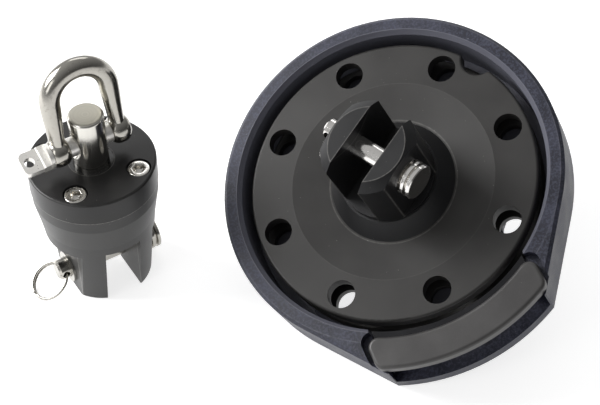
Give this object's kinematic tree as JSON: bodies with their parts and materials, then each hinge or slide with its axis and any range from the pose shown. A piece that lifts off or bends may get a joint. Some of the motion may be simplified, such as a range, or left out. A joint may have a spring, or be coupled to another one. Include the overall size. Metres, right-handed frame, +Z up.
{
  "type": "roller furler",
  "caption": "Furling drum in a round housing with a line guard and pinned forks, with a separate halyard swivel that carries a bow shackle.",
  "frame": {"origin": "bottom centre of the whole set as it lies on a table", "axes": "+Z up from the table, +X along the longest extent from the swivel to the drum unit, +Y away from the side with the line mouth"},
  "size_m": [0.2446, 0.1606, 0.1224],
  "materials": {
    "housing_black": "fine moulded grain",
    "dark_anodised": "satin dark anodised",
    "fork_anodised": "satin dark anodised",
    "cap_black": "satin black anodised",
    "polished_steel": "polished stainless steel",
    "stainless": "plain stainless steel",
    "bearing_steel": "ground steel",
    "bearing_plastic": "natural plastic",
    "seal_rubber": "matt"
  },
  "bodies": {
    "fixed_side": {"drum_housing": "housing_black", "fairlead_guard": "dark_anodised", "guard_screws": "stainless", "lower_fork": "fork_anodised", "housing_screws": "stainless", "axle": "stainless", "radial_inner_race": "bearing_steel", "bearing_spacer": "dark_anodised", "thrust_shaft_washer": "bearing_steel", "axle_nut": "stainless"},
    "turning_drum": {"upper_flange": "dark_anodised", "lower_flange": "dark_anodised", "spool_core": "dark_anodised", "drum_fork": "fork_anodised", "drum_fork_foot": "fork_anodised", "flange_screws": "stainless", "fork_screws": "stainless", "radial_outer_race": "bearing_steel", "core_bush": "bearing_plastic", "thrust_core_washer": "bearing_steel", "bearing_shield": "seal_rubber"},
    "radial_ball_set": {"radial_balls": "bearing_steel", "radial_cage": "bearing_plastic"},
    "thrust_ball_set": {"thrust_balls": "bearing_steel", "thrust_cage": "bearing_plastic"},
    "upper_pin": {"drum_fork_pin": "polished_steel", "drum_pin_washer": "polished_steel"},
    "upper_ring": {"drum_split_ring": "polished_steel"},
    "lower_pin": {"lower_fork_pin": "polished_steel", "lower_pin_washer": "polished_steel"},
    "lower_ring": {"lower_split_ring": "polished_steel"},
    "swivel_housing": {"swivel_fork_body": "fork_anodised", "swivel_cap": "cap_black", "cap_screws": "stainless", "cap_bush": "bearing_plastic", "stud_seal": "seal_rubber", "swivel_base_pad": "bearing_plastic", "swivel_top_washer": "bearing_steel"},
    "stud": {"swivel_stud": "polished_steel", "swivel_low_washer": "bearing_steel"},
    "swivel_ball_set": {"swivel_balls": "bearing_steel", "swivel_cage": "bearing_plastic"},
    "shackle": {"shackle_bow": "polished_steel", "shackle_pin": "polished_steel"},
    "swivel_pin": {"swivel_fork_pin": "polished_steel", "swivel_pin_washer": "polished_steel"},
    "swivel_ring": {"swivel_split_ring": "polished_steel"}
  },
  "joints": [
    {"name": "drum_spin", "type": "hinge", "parent": "fixed_side", "child": "turning_drum", "pos_m": [0.04504, 0.00491, 0.04719], "axis": [-0.2708, -0.3882, 0.8809], "continuous": true},
    {"name": "radial_balls_roll", "type": "hinge", "parent": "fixed_side", "child": "radial_ball_set", "pos_m": [0.04612, 0.00646, 0.04366], "axis": [-0.2708, -0.3882, 0.8809], "continuous": true},
    {"name": "thrust_balls_roll", "type": "hinge", "parent": "fixed_side", "child": "thrust_ball_set", "pos_m": [0.04351, 0.00272, 0.05216], "axis": [-0.2708, -0.3882, 0.8809], "continuous": true},
    {"name": "upper_pin_turn", "type": "hinge", "parent": "turning_drum", "child": "upper_pin", "pos_m": [0.03388, -0.01109, 0.08348], "axis": [0.7628, -0.6448, -0.0497], "continuous": true},
    {"name": "upper_ring_swing", "type": "hinge", "parent": "upper_pin", "child": "upper_ring", "pos_m": [0.01687, 0.00329, 0.08459], "axis": [0.6456, 0.7636, 0.0021], "range_deg": [-12, 188]},
    {"name": "lower_pin_turn", "type": "hinge", "parent": "fixed_side", "child": "lower_pin", "pos_m": [0.05419, 0.01803, 0.01742], "axis": [0.8202, -0.5721, 0], "continuous": true},
    {"name": "lower_ring_swing", "type": "hinge", "parent": "lower_pin", "child": "lower_ring", "pos_m": [0.0359, 0.03079, 0.01742], "axis": [0.504, 0.7225, 0.4733], "range_deg": [-60, 95]},
    {"name": "swivel_lift", "type": "slide", "parent": "fixed_side", "child": "swivel_housing", "axis": [0, 0, 1], "range_m": [0, 0.3]},
    {"name": "stud_spin", "type": "hinge", "parent": "swivel_housing", "child": "stud", "pos_m": [-0.08917, 0.00363, 0.0616], "axis": [0, 0, 1], "continuous": true},
    {"name": "swivel_balls_roll", "type": "hinge", "parent": "swivel_housing", "child": "swivel_ball_set", "pos_m": [-0.08917, 0.00363, 0.05475], "axis": [0, 0, 1], "continuous": true},
    {"name": "shackle_swing", "type": "hinge", "parent": "stud", "child": "shackle", "pos_m": [-0.08917, 0.00363, 0.0806], "axis": [0.8607, 0.509, 0], "range_deg": [-91, 109]},
    {"name": "swivel_pin_turn", "type": "hinge", "parent": "swivel_housing", "child": "swivel_pin", "pos_m": [-0.08917, 0.00363, 0.01], "axis": [0.8607, 0.509, 0], "continuous": true},
    {"name": "swivel_ring_swing", "type": "hinge", "parent": "swivel_pin", "child": "swivel_ring", "pos_m": [-0.10742, -0.00717, 0.01], "axis": [-0.509, 0.8607, 0], "range_deg": [-65.2, 126.8]}
  ],
  "couplings": [
    {"joint": "radial_balls_roll", "follows": "drum_spin", "ratio": 0.5},
    {"joint": "thrust_balls_roll", "follows": "drum_spin", "ratio": 0.5},
    {"joint": "swivel_balls_roll", "follows": "stud_spin", "ratio": 0.5}
  ]
}
